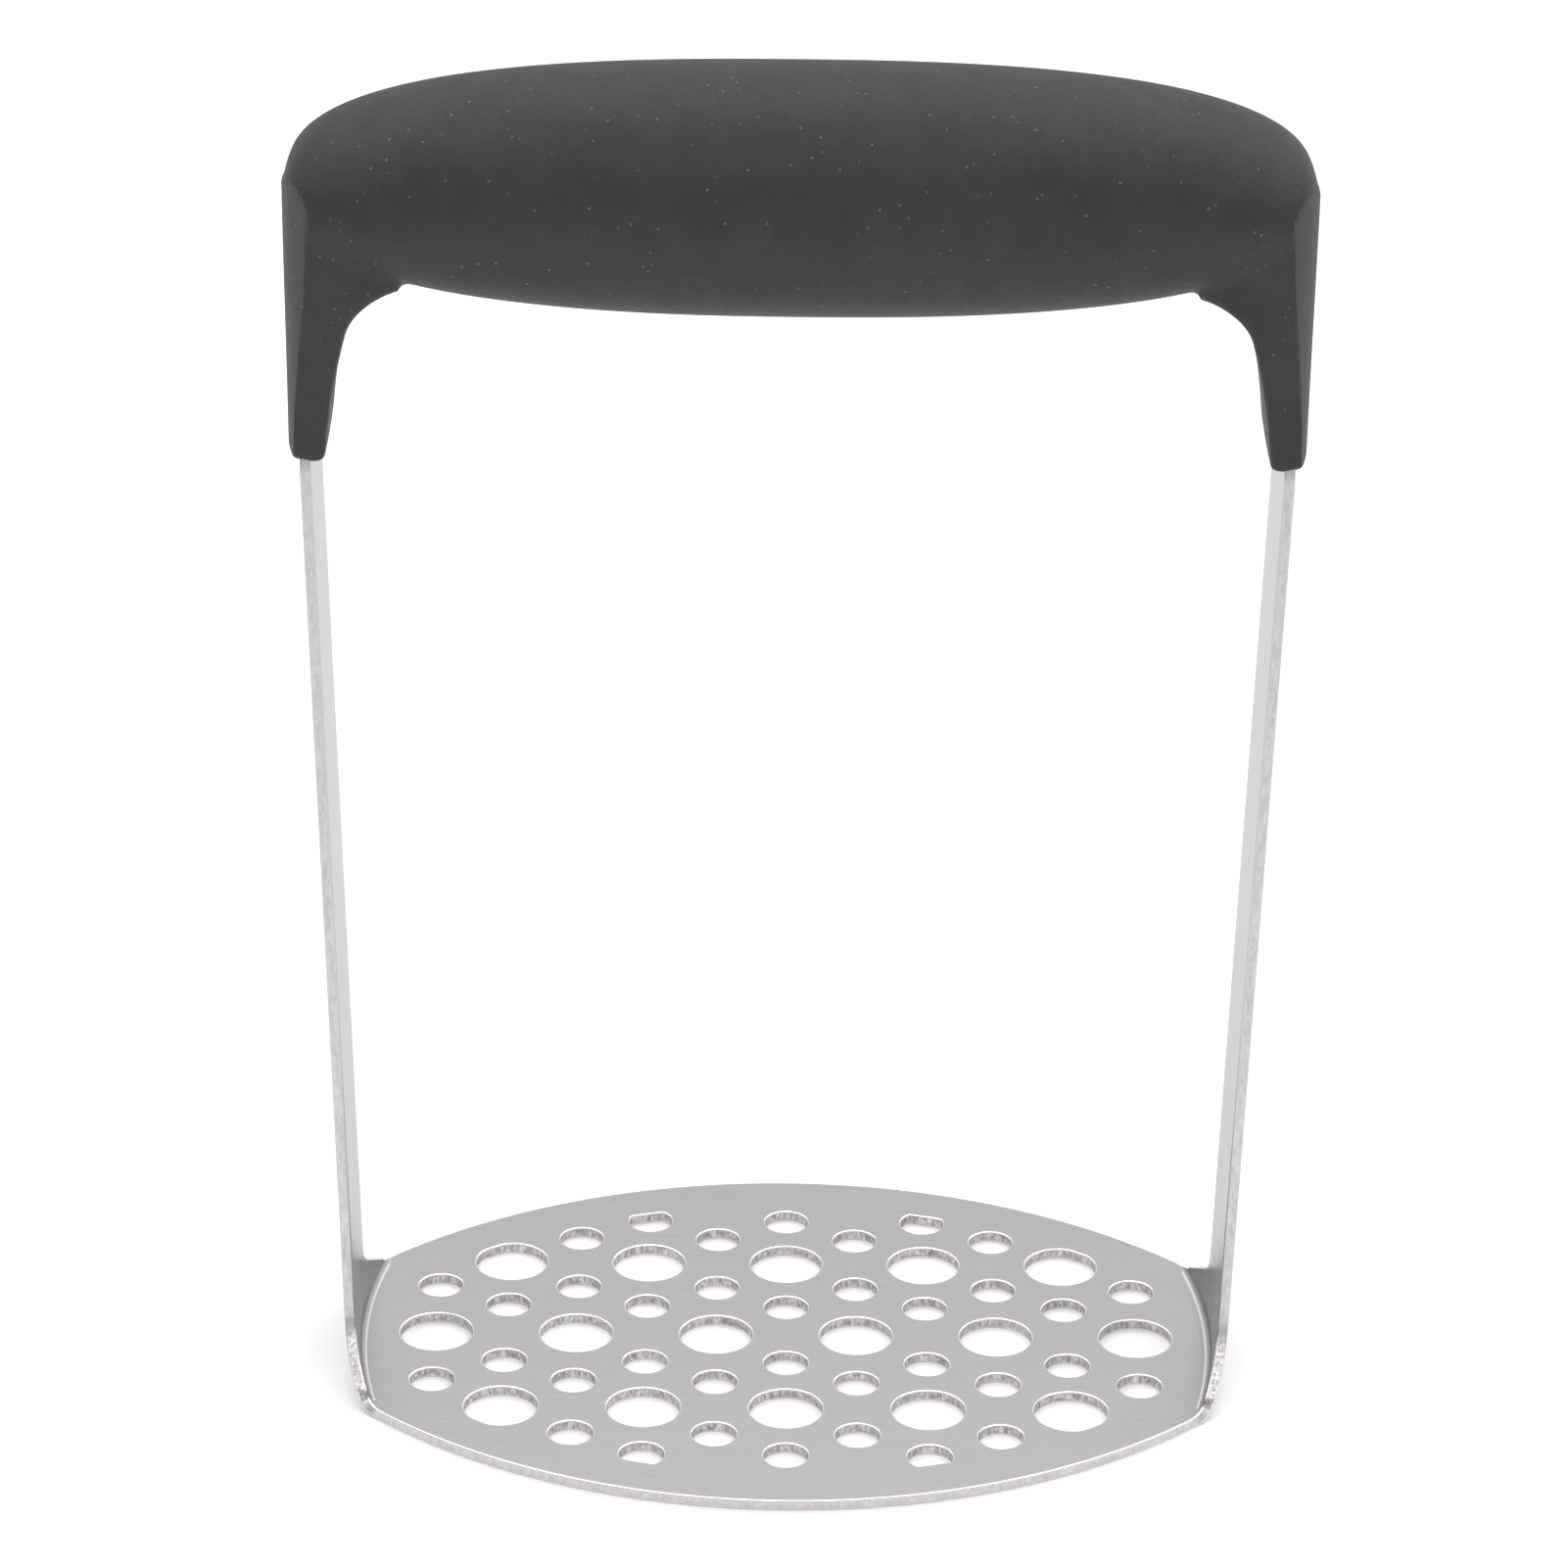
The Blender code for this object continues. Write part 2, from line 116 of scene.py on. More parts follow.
# Soft grip
GRIP_HALF_LENGTH = 66.38 * MM
GRIP_HEIGHT = 171.7 * MM
GRIP_HALF_THICKNESS = 16.35 * MM
GRIP_HALF_DEPTH = 17.0 * MM
GRIP_DEPTH_LOSS = 2.8 * MM
DEPTH_LOSS_POWER = 2.4
GRIP_CREASE = 61.5 * MM
TOP_FULLNESS = 2.57
BOTTOM_FULLNESS = 2.45
LEG_TIP = 136.2 * MM
LEG_OUTER = 66.2 * MM
LEG_INNER = 60.6 * MM
LEG_HALF_DEPTH = 10.5 * MM
LEG_HALF_DEPTH_TOP = 14.0 * MM
TIP_CREASE = 64.6 * MM
LEG_FLARE_START = 154.5 * MM
LEG_FILLET_RADIUS = 6.8 * MM
LEG_INNER_LEAN = 0.06
LEG_INNER_CURVE = 5.3
LEG_DRAFT = 0.08
WEB_SLIMMING = 45.0
GRIP_GRID = 0.6 * MM                    # spacing of the grid that meshes the grip
GRIP_MARGIN = 2.0 * MM                  # how far that grid goes past the grip
GRIP_ROUNDS = 3                         # how often its points are moved onto the surface
CREASE_ROUND = 1.2 * MM
WEB_ROUND = 1.6 * MM
TIP_ROUND = 1.4 * MM

# Textures: stretches along and across the flat pattern, and noise scales
FINE_BRUSHING = (14.0, 1400.0, 1.0)
COARSE_BRUSHING = (3.0, 300.0, 1.0)
TORN_STRETCH = (1.0, 1.0, 0.4)
TORN_SCALE = 2000.0
TOOTH_SCALE = 2600.0
CLOUD_SCALE = 160.0
DUST_SCALE = 560.0
DUST_PICK_SCALE = 260.0
CORE_GRAIN_SCALE = 1500.0

# Steel colours
BRUSHED_DARK = (0.470, 0.469, 0.471)
BRUSHED_LIGHT = (0.496, 0.495, 0.497)
# painted highlight: near-white colour on the rolled rims and along the bend lines
PAINTED_HIGHLIGHT = (0.95, 0.94, 0.945)
PUNCHED_DARK = (0.36, 0.33, 0.34)       # torn walls of the holes and of the feet's slopes
PUNCHED_LIGHT = (0.74, 0.70, 0.715)
TRIMMED_DARK = (0.62, 0.595, 0.605)     # evenly sheared walls everywhere else
TRIMMED_LIGHT = (0.72, 0.69, 0.70)
STEEL_TINT = (0.80, 0.79, 0.795, 1.0)   # of the reflection at grazing angles

# Rubber and plastic colours
RUBBER_DARK = (0.029, 0.029, 0.030)
RUBBER_LIGHT = (0.040, 0.040, 0.041)
DUST = (0.17, 0.17, 0.17)
CORE_DARK = (0.018, 0.018, 0.019)
CORE_LIGHT = (0.026, 0.026, 0.027)

# Camera: a long lens about 0.9 m away
LENS = 145.7
SENSOR_WIDTH = 36.0
CAMERA_PLACE = (-4.3 * MM, -762.6 * MM, 458.3 * MM)
CAMERA_YAW = math.radians(0.2306)
CAMERA_PITCH = math.radians(25.961)
CAMERA_ROLL = math.radians(0.71)

# Studio
FLOOR_HALF_SIZE = 6.0
FLOOR_DROP = 0.05 * MM                  # keeps the floor off the plate's underside
FLOOR_SHADE = 0.88
FLOOR_GLOW = 0.16                       # keeps the floor pale beside the feet
WORLD_FRONT = 0.40                      # brightness of the surroundings by direction
WORLD_BACK = 0.80
WORLD_LEFT = 0.60
WORLD_TOP = 1.15
WORLD_TURN = 0.9                        # how squarely a direction faces before it counts in full
TOP_LIGHT_POWER = 42.0
TOP_LIGHT_PLACE = (0.0, 0.2, 1.6)
TOP_LIGHT_TARGET = (0.0, 0.0, 0.1)
TOP_LIGHT_SIZE = (3.6, 3.0)


def blend(value, low, high):
    """Smooth step from 0 at low to 1 at high."""
    share = np.clip((value - low) / (high - low), 0.0, 1.0)
    return share * share * (3.0 - 2.0 * share)


def bend_sag(y):
    """How far a bend line falls back from its middle at depth y."""
    return PLATE_ARC_RADIUS - np.sqrt(PLATE_ARC_RADIUS ** 2 - y ** 2)


# Folding the flat pattern

def straight_run(height):
    """Length of straight strip from the end of the bend up to a height."""
    bend_top = SHEET / 2 + BEND_RADIUS * (1 - math.cos(TURN))
    return (height - bend_top) / math.sin(TURN)


def run_at(height):
    """Distance past the bend line, along the sheet, of a height on the upright."""
    straight = straight_run(min(height, CRANK_HEIGHT))
    cranked = max(height - CRANK_HEIGHT, 0.0) / math.sin(CRANK_TURN)
    return BEND_RADIUS * TURN + straight + cranked


def fold(s, y, lift):
    """Points of the folded blank from flat places (s, y) and lift above mid-sheet."""
    side = np.where(s < 0.0, -1.0, 1.0)
    line = BEND_LINE - bend_sag(y)
    past = np.maximum(np.abs(s) - line, 0.0)
    heading = np.minimum(past / BEND_RADIUS, TURN)
    run = np.maximum(past - BEND_RADIUS * TURN, 0.0)
    straight = np.minimum(run, straight_run(CRANK_HEIGHT))
    cranked = run - straight
    reach = (BEND_RADIUS * np.sin(heading) + straight * math.cos(TURN)
             + cranked * math.cos(CRANK_TURN))
    height = (SHEET / 2 + BEND_RADIUS * (1 - np.cos(heading)) + straight * math.sin(TURN)
              + cranked * math.sin(CRANK_TURN))
    heading = np.where(cranked > 0.0, CRANK_TURN, heading)
    flatness = blend(height, FLATTEN_START, FLATTEN_END)
    x = np.minimum(np.abs(s), line) + bend_sag(y) * flatness + reach - lift * np.sin(heading)
    z = height + lift * np.cos(heading)
    return np.stack([side * x, y, z], axis=-1)


def fold_normals(s, y, out_s, out_y, tilt):
    """Normals of the rims: tilt 90 degrees faces up the sheet, 0 faces out of its edge."""
    step = 0.01 * MM
    along = (fold(s + step, y, 0 * s) - fold(s - step, y, 0 * s)) / (2 * step)
    across = (fold(s, y + step, 0 * s) - fold(s, y - step, 0 * s)) / (2 * step)
    up = np.cross(along, across)
    up /= np.linalg.norm(up, axis=1, keepdims=True)
    out = along * out_s[:, None] + across * out_y[:, None]
    length = np.linalg.norm(out, axis=1, keepdims=True)
    out = out / np.maximum(length, 1e-12)
    return out * np.cos(tilt)[:, None] + up * np.sin(tilt)[:, None]


# Flat pattern

def edge_y(x, radius=PLATE_ARC_RADIUS):
    """Depth of the plate's back arc at x, or of an arc round the same centre."""
    return PLATE_HALF_DEPTH - PLATE_ARC_RADIUS + math.sqrt(radius ** 2 - x ** 2)


def bend_end():
    """How far out along the flat sheet its arc edge reaches the end of a bend."""
    reach = BEND_LINE
    for _ in range(SETTLING_ROUNDS):
        reach = BEND_LINE - float(bend_sag(edge_y(reach))) + BEND_RADIUS * TURN
    return reach


def foot_outline():
    """Edge of the foot as (height, half-width): a slope, then a concave curve."""
    slant = math.hypot(1.0, FOOT_SPREAD)
    reach = FOOT_HALF_WIDTH - STRIP_HALF_WIDTH + FOOT_SPREAD * FOOT_CORNER
    top = (reach + FLARE_RADIUS * (slant - 1.0)) / FOOT_SPREAD
    low = top - FLARE_RADIUS * FOOT_SPREAD / slant
    edge = [(height, FOOT_HALF_WIDTH - (height - FOOT_CORNER) * FOOT_SPREAD)
            for height in np.linspace(FOOT_CORNER, low, SLOPE_POINTS)]
    angle = math.degrees(math.asin(FOOT_SPREAD / slant))
    edge += [(top - FLARE_RADIUS * math.sin(a), STRIP_HALF_WIDTH + FLARE_RADIUS * (1 - math.cos(a)))
             for a in np.radians(np.linspace(angle, 0.0, FLARE_POINTS))[1:]]
    return edge


def quarter_outline():
    """Flat outline from the middle of the back edge to the top of the right tang."""
    points = [(x, edge_y(x)) for x in np.linspace(0.0, bend_end(), ARC_POINTS)]
    for height, width in foot_outline():
        points.append((BEND_LINE - float(bend_sag(width)) + run_at(height), width))
    strip = STRIP_HALF_WIDTH
    base = BEND_LINE - float(bend_sag(strip))
    shoulder = base + run_at(CRANK_HEIGHT + SHOULDER_PAST_CRANK)
    points += [(x, strip) for x in np.linspace(points[-1][0], shoulder, STRIP_POINTS)[1:]]
    tang = TANG_HALF_WIDTH
    tip = BEND_LINE + run_at(TANG_TOP)
    points += [(shoulder + SHOULDER_RUN, tang), (tip - TANG_CHAMFER, tang), (tip, tang - TANG_CHAMFER)]
    return points


def blank_outline():
    """Whole flat outline: the quarter, mirrored both ways."""
    quarter = quarter_outline()
    half = quarter[::-1] + [(-x, y) for x, y in quarter[1:]]
    return half + [(x, -y) for x, y in half[::-1]]


def hole_loop(x, y, radius):
    """A round hole, trimmed flat where it would come too near the plate's edge."""
    sides = max(FEWEST_SIDES, round(2 * math.pi * radius / HOLE_SEGMENT))
    loop = []
    for step in range(sides):
        angle = -2.0 * math.pi * (step + 0.5) / sides
        point_x = x + radius * math.cos(angle)
        point_y = y + radius * math.sin(angle)
        limit = edge_y(point_x, PLATE_ARC_RADIUS - HOLE_MARGIN)
        loop.append((point_x, max(-limit, min(limit, point_y))))
    return loop


def hole_loops():
    """Every hole of the plate, and the lock hole of each tang."""
    loops = []

    def row(depth, columns, radius):
        for side in ((1, -1) if depth else (1,)):
            loops.extend(hole_loop(PITCH * x, side * depth, radius) for x in columns)

    halves = (-2.5, -1.5, -0.5, 0.5, 1.5, 2.5)
    wholes = (-2, -1, 0, 1, 2)
    row(0.0, halves, BIG_HOLE_RADIUS)
    row(PITCH, wholes, BIG_HOLE_RADIUS)
    row(NEAR_ROW, wholes, SMALL_HOLE_RADIUS)
    row(MID_ROW, halves, SMALL_HOLE_RADIUS)
    row(FAR_ROW, halves[1:-1], SMALL_HOLE_RADIUS)
    row(OUTER_ROW, wholes[1:-1], SMALL_HOLE_RADIUS)
    lock = BEND_LINE + run_at(LOCK_HOLE_HEIGHT)
    for side in (1, -1):
        angles = -np.linspace(0.0, 2.0 * math.pi, FEWEST_SIDES + 1)[:-1]
        loops.append([(side * lock + LOCK_HOLE_RADIUS * math.cos(a), LOCK_HOLE_RADIUS * math.sin(a))
                      for a in angles])
    return loops


def outward(loop):
    """Unit directions out of the sheet at each point of a loop that keeps metal on its left."""
    ahead = np.roll(loop, -1, axis=0) - loop
    behind = loop - np.roll(loop, 1, axis=0)
    ahead /= np.linalg.norm(ahead, axis=1, keepdims=True)
    behind /= np.linalg.norm(behind, axis=1, keepdims=True)
    normal = np.stack([ahead[:, 1] + behind[:, 1], -ahead[:, 0] - behind[:, 0]], axis=1)
    length = np.linalg.norm(normal, axis=1, keepdims=True)
    return normal / length


def inside_loop(points, loop):
    """Which points lie inside a closed loop, by counting crossings."""
    inside = np.zeros(len(points), bool)
    for (x0, y0), (x1, y1) in zip(loop, np.roll(loop, -1, axis=0)):
        crosses = (y0 > points[:, 1]) != (y1 > points[:, 1])
        if y1 == y0:
            continue
        at = x0 + (points[:, 1] - y0) * (x1 - x0) / (y1 - y0)
        inside ^= crosses & (points[:, 0] < at)
    return inside


def curved_rows():
    """Extra points where the sheet bends or its foot is curved, on both sides."""
    arc = BEND_RADIUS * TURN
    top = run_at(CURVED_ROWS_TOP)
    runs = list(np.linspace(0.0, arc, BEND_ROWS)) + list(np.linspace(arc, top, FOOT_ROWS)[1:])
    foot = [(run_at(height), width) for height, width in foot_outline()]
    points = []
    for run in runs:
        if run <= arc:
            half = edge_y(bend_end() - arc + run)
        else:
            half = float(np.interp(run, *zip(*foot)))
        half -= ROW_MARGIN
        for y in np.linspace(-half, half, 2 * round(half / ROW_SPACING) + 1):
            s = BEND_LINE - float(bend_sag(y)) + run
            points += [(s, y), (-s, y)]
    return points


def rim_rings(loop):
    """Rings of points that roll round one edge, from the sheet's upper face to its lower one.

    Gives flat places, lifts above mid-sheet, outward directions and tilts.
    """
    out = outward(loop)
    tilts = np.concatenate([np.linspace(math.pi / 2, 0.0, EDGE_STEPS + 1),
                            np.linspace(0.0, -math.pi / 2, EDGE_STEPS + 1)])
    sides = np.repeat((1.0, -1.0), EDGE_STEPS + 1)
    places = []
    lifts = []
    for tilt, side in zip(tilts, sides):
        places.append(loop - out * EDGE_ROUND * (1 - math.cos(tilt)))
        lift = side * (SHEET / 2 - EDGE_ROUND * (1 - abs(math.sin(tilt))))
        lifts.append(np.full(len(loop), lift))
    outs = np.tile(out, (RING_COUNT, 1))
    return np.concatenate(places), np.concatenate(lifts), outs, np.repeat(tilts, len(loop))


def rim_faces(first, count):
    """Quads between the rings of one edge, whose points are numbered from first."""
    faces = []
    for ring in range(RING_COUNT - 1):
        a = first + ring * count
        b = a + count
        for step in range(count):
            after = (step + 1) % count
            faces.append((a + step, b + step, b + after, a + after))
    return faces


def flat_triangles(rims, extra):
    """Triangles of the flat sheet, numbered along the rims' points and then the extra ones."""
    rims = [rim.astype(np.float32).astype(float) for rim in rims]
    pattern = [Vector(place) for place in np.concatenate(rims + [extra])]
    edges = []
    start = 0
    for rim in rims:
        count = len(rim)
        edges += [(start + i, start + (i + 1) % count) for i in range(count)]
        start += count
    result = delaunay_2d_cdt(pattern, edges, [], 0, 1e-9)
    places = np.array([tuple(v) for v in result[0]])
    sources = np.array([ids[0] for ids in result[3]])
    triangles = np.array(result[2])
    middles = places[triangles].mean(axis=1)
    keep = inside_loop(middles, rims[0])
    for rim in rims[1:]:
        keep &= ~inside_loop(middles, rim)
    return sources[triangles[keep]]


def face_numbers(rims, extra):
    """Mesh numbers of the flat pattern's points on the upper and on the lower face."""
    upper = []
    lower = []
    first = 0
    for rim in rims:
        count = len(rim)
        last = first + (RING_COUNT - 1) * count
        upper += range(first, first + count)
        lower += range(last, last + count)
        first = last + count
    for index in range(len(extra)):
        upper.append(first + 2 * index)
        lower.append(first + 2 * index + 1)
    return upper, lower


def blank_loops():
    """Outline of the flat blank, then its holes, with metal on the left of each."""
    outline = np.array(blank_outline())
    ahead = np.roll(outline, -1, axis=0)
    if np.sum(outline[:, 0] * ahead[:, 1] - outline[:, 1] * ahead[:, 0]) < 0:
        outline = outline[::-1]
    return [outline] + [np.array(loop) for loop in hole_loops()]


def blank_mesh():
    """Points, faces, normals, flat places and tilts of the folded blank.

    The last value is the number of the first point that belongs to a hole or to a face.
    """
    loops = blank_loops()
    parts = [rim_rings(loop) for loop in loops]
    faces = []
    first = 0
    for loop in loops:
        faces += rim_faces(first, len(loop))
        first += RING_COUNT * len(loop)
    rims = [part[0][:len(loop)] for part, loop in zip(parts, loops)]
    extra = np.array(curved_rows())
    upper, lower = face_numbers(rims, extra)
    for a, b, c in flat_triangles(rims, extra):
        faces.append((upper[a], upper[b], upper[c]))
        faces.append((lower[c], lower[b], lower[a]))
    doubled = np.repeat(extra, 2, axis=0)
    both = np.tile([1.0, -1.0], len(extra))
    parts.append((doubled, both * SHEET / 2, np.zeros_like(doubled), both * math.pi / 2))
    flat, lifts, outs, tilts = (np.concatenate(group) for group in zip(*parts))
    points = fold(flat[:, 0], flat[:, 1], lifts)
    normals = fold_normals(flat[:, 0], flat[:, 1], outs[:, 0], outs[:, 1], tilts)
    return points, faces, normals, flat, tilts, RING_COUNT * len(loops[0])


def mesh_object(name, points, faces, normals, material):
    """Object with smooth shading, from arrays of points, faces and point normals."""
    mesh = bpy.data.meshes.new(name)
    mesh.from_pydata([tuple(p) for p in points], [], [tuple(int(i) for i in f) for f in faces])
    mesh.polygons.foreach_set("use_smooth", np.ones(len(mesh.polygons), bool))
    mesh.normals_split_custom_set_from_vertices([tuple(n) for n in normals])
    mesh.materials.append(material)
    item = bpy.data.objects.new(name, mesh)
    bpy.context.scene.collection.objects.link(item)
    return item


def make_blank(material):
    """Steel blank with its flat pattern as UV map and two masks that tell its edges apart."""
    points, faces, normals, flat, tilts, holes_start = blank_mesh()
    item = mesh_object("steel_blank", points, faces, normals, material)
    layer = item.data.uv_layers.new(name=PATTERN_LAYER)
    corners = np.zeros(len(item.data.loops), np.int32)
    item.data.loops.foreach_get("vertex_index", corners)
    layer.data.foreach_set("uv", (flat[corners] / UV_LENGTH).astype(np.float32).ravel())
    edge_share = np.cos(tilts)
    slopes = (np.abs(flat[:, 0]) > BEND_LINE) & (np.abs(flat[:, 1]) > SLOPE_HALF_WIDTH)
    torn_share = ((np.arange(len(flat)) >= holes_start) | slopes) & (edge_share > EDGE_TRACE)
    for layer_name, share in ((EDGE_LAYER, edge_share), (TORN_LAYER, torn_share)):
        mask = item.data.attributes.new(layer_name, "FLOAT", "POINT")
        mask.data.foreach_set("value", share.astype(np.float32))
    return item


# Grip

def smooth_max(a, b, size):
    """The larger value, with the crease between the two rounded over a size."""
    share = np.maximum(size - np.abs(a - b), 0.0) / size
    return np.maximum(a, b) + share * share * size / 4.0


def smooth_min(a, b, size):
    """The smaller value, rounded likewise."""
    return -smooth_max(-a, -b, size)


def levelled(formula, x, y, z):
    """A formula over its own slope, which is close to a true distance near its surface."""
    step = 0.05 * MM
    slope = [(formula(x + step, y, z) - formula(x - step, y, z)) / (2 * step),
             (formula(x, y + step, z) - formula(x, y - step, z)) / (2 * step),
             (formula(x, y, z + step) - formula(x, y, z - step)) / (2 * step)]
    length = np.sqrt(slope[0] ** 2 + slope[1] ** 2 + slope[2] ** 2)
    return formula(x, y, z) / np.maximum(length, 0.02 / MM)


def bar_formula(x, y, z):
    """Barrel of the grip: oval sections on a superellipse front view."""
    share = np.minimum(np.abs(x) / GRIP_HALF_LENGTH, 0.9999)
    fullness = np.where(z > GRIP_HEIGHT, TOP_FULLNESS, BOTTOM_FULLNESS)
    height = GRIP_HALF_THICKNESS * (1.0 - share ** fullness) ** (1.0 / fullness)
    depth = GRIP_HALF_DEPTH - GRIP_DEPTH_LOSS * (np.abs(x) / GRIP_CREASE) ** DEPTH_LOSS_POWER
    return np.sqrt((y / depth) ** 2 + ((z - GRIP_HEIGHT) / height) ** 2) - 1.0


def leg_inner_x(z):
    """How far out the inner face of a leg is at a height."""
    rise = np.maximum(z - LEG_TIP, 0.0)
    return LEG_INNER - LEG_INNER_LEAN * rise - LEG_INNER_CURVE * rise ** 2


def leg_side(x, y, z):
    """Front and back faces of a leg, which slims towards the middle of the grip."""
    depth = LEG_HALF_DEPTH + (LEG_HALF_DEPTH_TOP - LEG_HALF_DEPTH) * blend(z, LEG_TIP, GRIP_HEIGHT)
    inward = np.maximum(LEG_OUTER - np.abs(x), 0.0)
    web = np.maximum(LEG_INNER - np.abs(x), 0.0)
    return np.abs(y) - depth + LEG_DRAFT * inward + WEB_SLIMMING * web ** 2


def leg_inside(x, z):
    """Inner face of a leg and the fillet that carries it into the grip's underside."""
    start = float(leg_inner_x(LEG_FLARE_START))
    slope = (float(leg_inner_x(LEG_FLARE_START - MM)) - start) / MM
    length = math.hypot(1.0, slope)
    centre_x = start - LEG_FILLET_RADIUS / length
    centre_z = LEG_FLARE_START - LEG_FILLET_RADIUS * slope / length
    wall = leg_inner_x(np.minimum(z, LEG_FLARE_START)) - np.abs(x)
    round_off = LEG_FILLET_RADIUS - np.hypot(np.abs(x) - centre_x, z - centre_z)
    beyond = np.maximum(centre_x - np.abs(x), 0.0)
    fillet = np.where(np.abs(x) > centre_x, round_off, np.maximum(beyond, round_off))
    return np.where(z < LEG_FLARE_START, wall, fillet)


def end_face(x, y, z):
    """Rounded end face, with its crease further out towards the leg's tip."""
    rise = blend(z, LEG_TIP, GRIP_HEIGHT)
    crease = TIP_CREASE + (GRIP_CREASE - TIP_CREASE) * rise
    end = LEG_OUTER + (GRIP_HALF_LENGTH - LEG_OUTER) * rise
    depth = LEG_HALF_DEPTH + (LEG_HALF_DEPTH_TOP - LEG_HALF_DEPTH) * rise
    return np.abs(x) - crease - (end - crease) * (1.0 - (y / depth) ** 2)


def grip_distance(x, y, z):
    """Roughly the distance to the grip's surface, negative inside."""
    bar = levelled(bar_formula, x, y, z)
    leg = smooth_max(leg_side(x, y, z), leg_inside(x, z), TIP_ROUND)
    leg = smooth_max(leg, z - GRIP_HEIGHT, TIP_ROUND)
    body = smooth_min(bar, leg, WEB_ROUND)
    body = smooth_max(body, LEG_TIP - z, TIP_ROUND)
    return smooth_max(body, levelled(end_face, x, y, z), CREASE_ROUND)


def slope_of(x, y, z):
    """Gradient of grip_distance."""
    step = 0.03 * MM
    return np.stack([grip_distance(x + step, y, z) - grip_distance(x - step, y, z),
                     grip_distance(x, y + step, z) - grip_distance(x, y - step, z),
                     grip_distance(x, y, z + step) - grip_distance(x, y, z - step)], axis=1) / (2 * step)


def cell_corners(size, offset):
    """Index of the grid points at one corner of every cell."""
    return tuple(slice(first, first + count) for first, count in zip(offset, size))


def cell_crossings(field):
    """How many edges of each grid cell cross the surface, and the sum of where they do."""
    inside = field < 0.0
    size = [n - 1 for n in field.shape]
    total = np.zeros(size + [3])
    crossings = np.zeros(size)
    for axis in range(3):
        others = [a for a in range(3) if a != axis]
        for u, v in ((0, 0), (0, 1), (1, 0), (1, 1)):
            offset = [0, 0, 0]
            offset[others[0]] = u
            offset[others[1]] = v
            near = cell_corners(size, offset)
            offset[axis] = 1
            far = cell_corners(size, offset)
            crossed = inside[near] != inside[far]
            drop = np.where(crossed, field[near] - field[far], 1.0)
            share = np.where(crossed, field[near] / drop, 0.0)
            crossings += crossed
            for a in range(3):
                place = share if a == axis else float(offset[a])
                total[..., a] += np.where(crossed, place, 0.0)
    return crossings, total


def net_quads(inside, number):
    """A quad round each grid edge that crosses the surface, through the four cells about it."""
    size = number.shape
    quads = []
    for axis in range(3):
        u, v = [(1, 2), (2, 0), (0, 1)][axis]
        near = [slice(1, n) for n in size]
        near[axis] = slice(0, size[axis])
        far = list(near)
        far[axis] = slice(1, size[axis] + 1)
        change = inside[tuple(near)].astype(int) - inside[tuple(far)].astype(int)
        for sign in (1, -1):
            found = np.argwhere(change == sign)
            found[:, [a for a in range(3) if a != axis]] += 1
            corners = []
            for du, dv in ((-1, -1), (0, -1), (0, 0), (-1, 0)):
                cell = found.copy()
                cell[:, u] += du
                cell[:, v] += dv
                corners.append(number[tuple(cell.T)])
            quad = np.stack(corners, axis=1)
            quads.append(quad if sign > 0 else quad[:, ::-1])
    return np.concatenate(quads)


def surface_net(low, high, step):
    """Quads over the zero surface of grip_distance: one point for each grid cell it crosses."""
    axes = [np.arange(a, b + step, step) for a, b in zip(low, high)]
    field = grip_distance(*np.meshgrid(*axes, indexing="ij"))
    crossings, total = cell_crossings(field)
    active = crossings > 0
    number = np.full(crossings.shape, -1)
    number[active] = np.arange(int(active.sum()))
    cells = np.argwhere(active)
    middles = total[active] / crossings[active][:, None]
    points = (cells + middles) * step + np.array([a[0] for a in axes])
    return points, net_quads(field < 0.0, number)


def make_grip(material):
    """Soft grip: a net over the formula's surface, with each point then moved onto it."""
    half_length = GRIP_HALF_LENGTH + GRIP_MARGIN
    half_depth = GRIP_HALF_DEPTH + GRIP_MARGIN
    low = (-half_length, -half_depth, LEG_TIP - GRIP_MARGIN)
    high = (half_length, half_depth, GRIP_HEIGHT + GRIP_HALF_THICKNESS + GRIP_MARGIN)
    points, quads = surface_net(low, high, GRIP_GRID)
    for _ in range(GRIP_ROUNDS):
        slope = slope_of(*points.T)
        move = grip_distance(*points.T)[:, None] * slope / np.sum(slope ** 2, axis=1, keepdims=True)
        points = points - np.clip(move, -GRIP_GRID / 2, GRIP_GRID / 2)
    normals = slope_of(*points.T)
    normals /= np.linalg.norm(normals, axis=1, keepdims=True)
    return mesh_object("soft_grip_mesh", points, quads, normals, material)


# Materials

